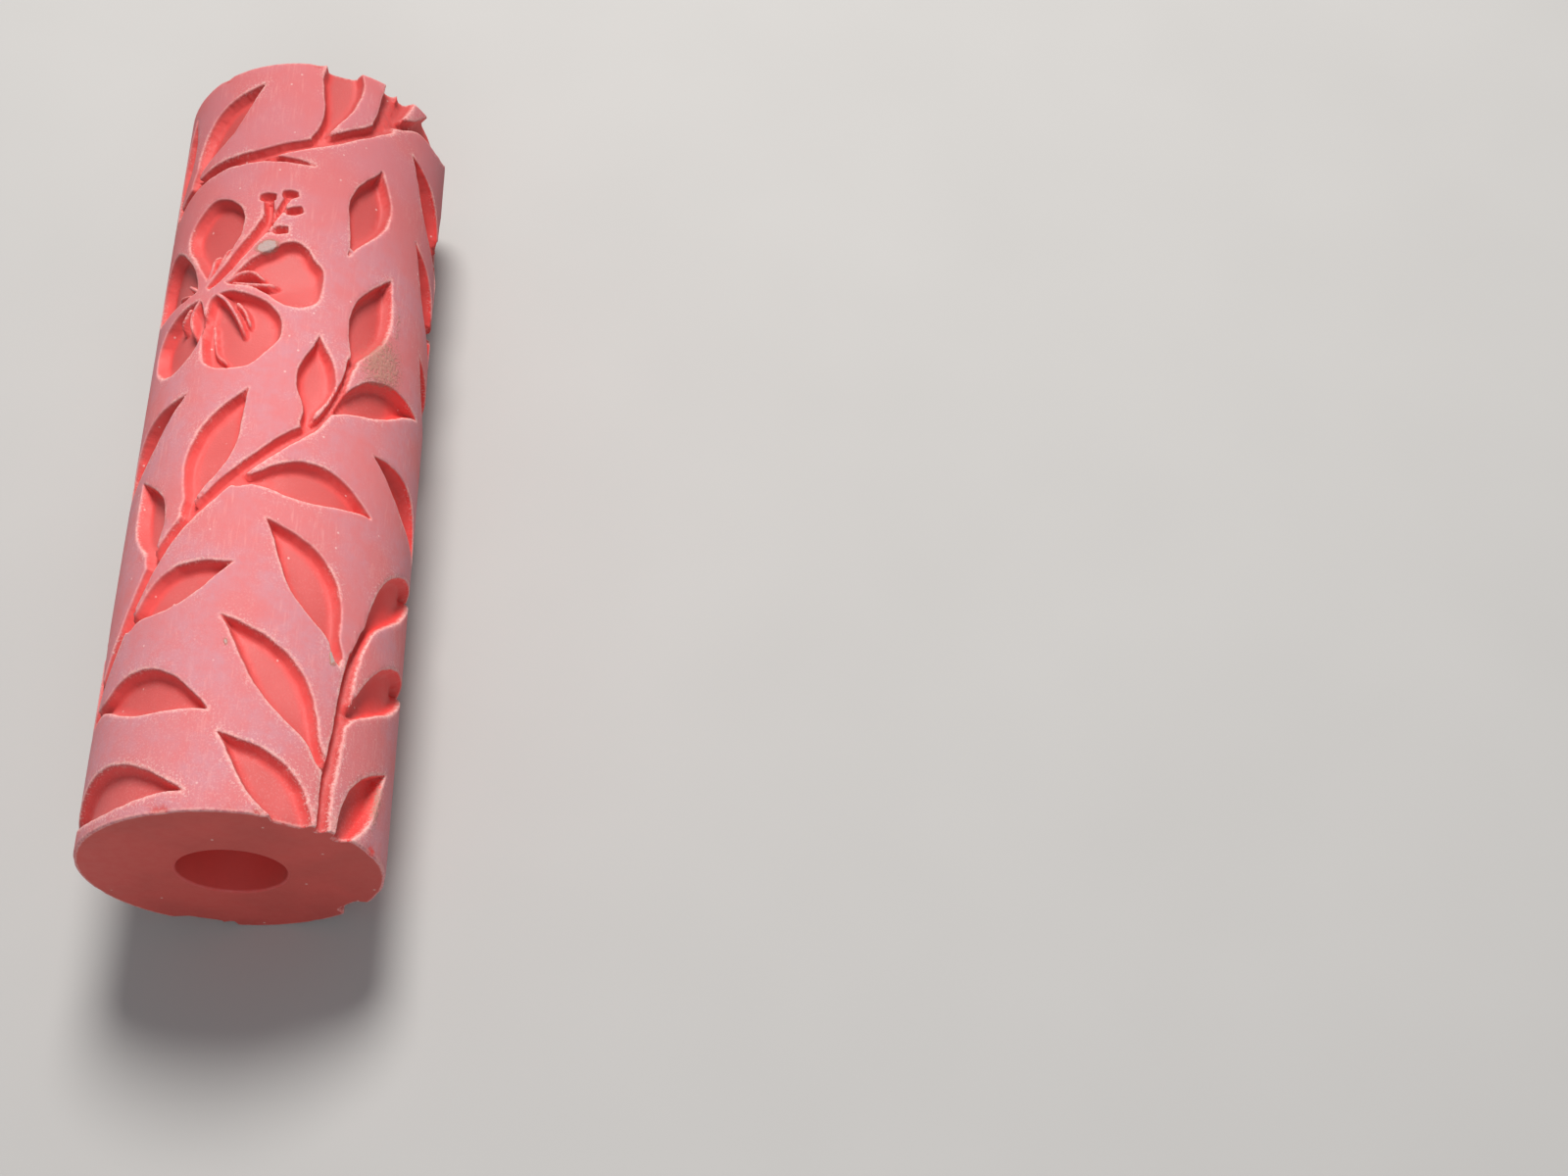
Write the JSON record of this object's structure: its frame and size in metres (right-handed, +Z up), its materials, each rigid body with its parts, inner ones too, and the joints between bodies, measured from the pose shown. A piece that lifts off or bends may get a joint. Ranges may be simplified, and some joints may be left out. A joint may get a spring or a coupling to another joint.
{
  "type": "clay texture roller",
  "caption": "Thick-walled cast rubber roller with blossoms, leaves and stems sunk into its outer face and a plain bore through its middle, for pressing relief into clay.",
  "frame": {"origin": "middle of the bounding box's bottom face: the roller lies on its side, and Z = 0 is the surface it rests on", "axes": "+Y along the roller's axis, towards the far end; +Z up; +X to the right when looking along +Y"},
  "size_m": [0.05, 0.156, 0.05],
  "materials": {
    "coral_rubber": "matte"
  },
  "bodies": {
    "root": {"roller_body": "coral_rubber"}
  },
  "joints": []
}
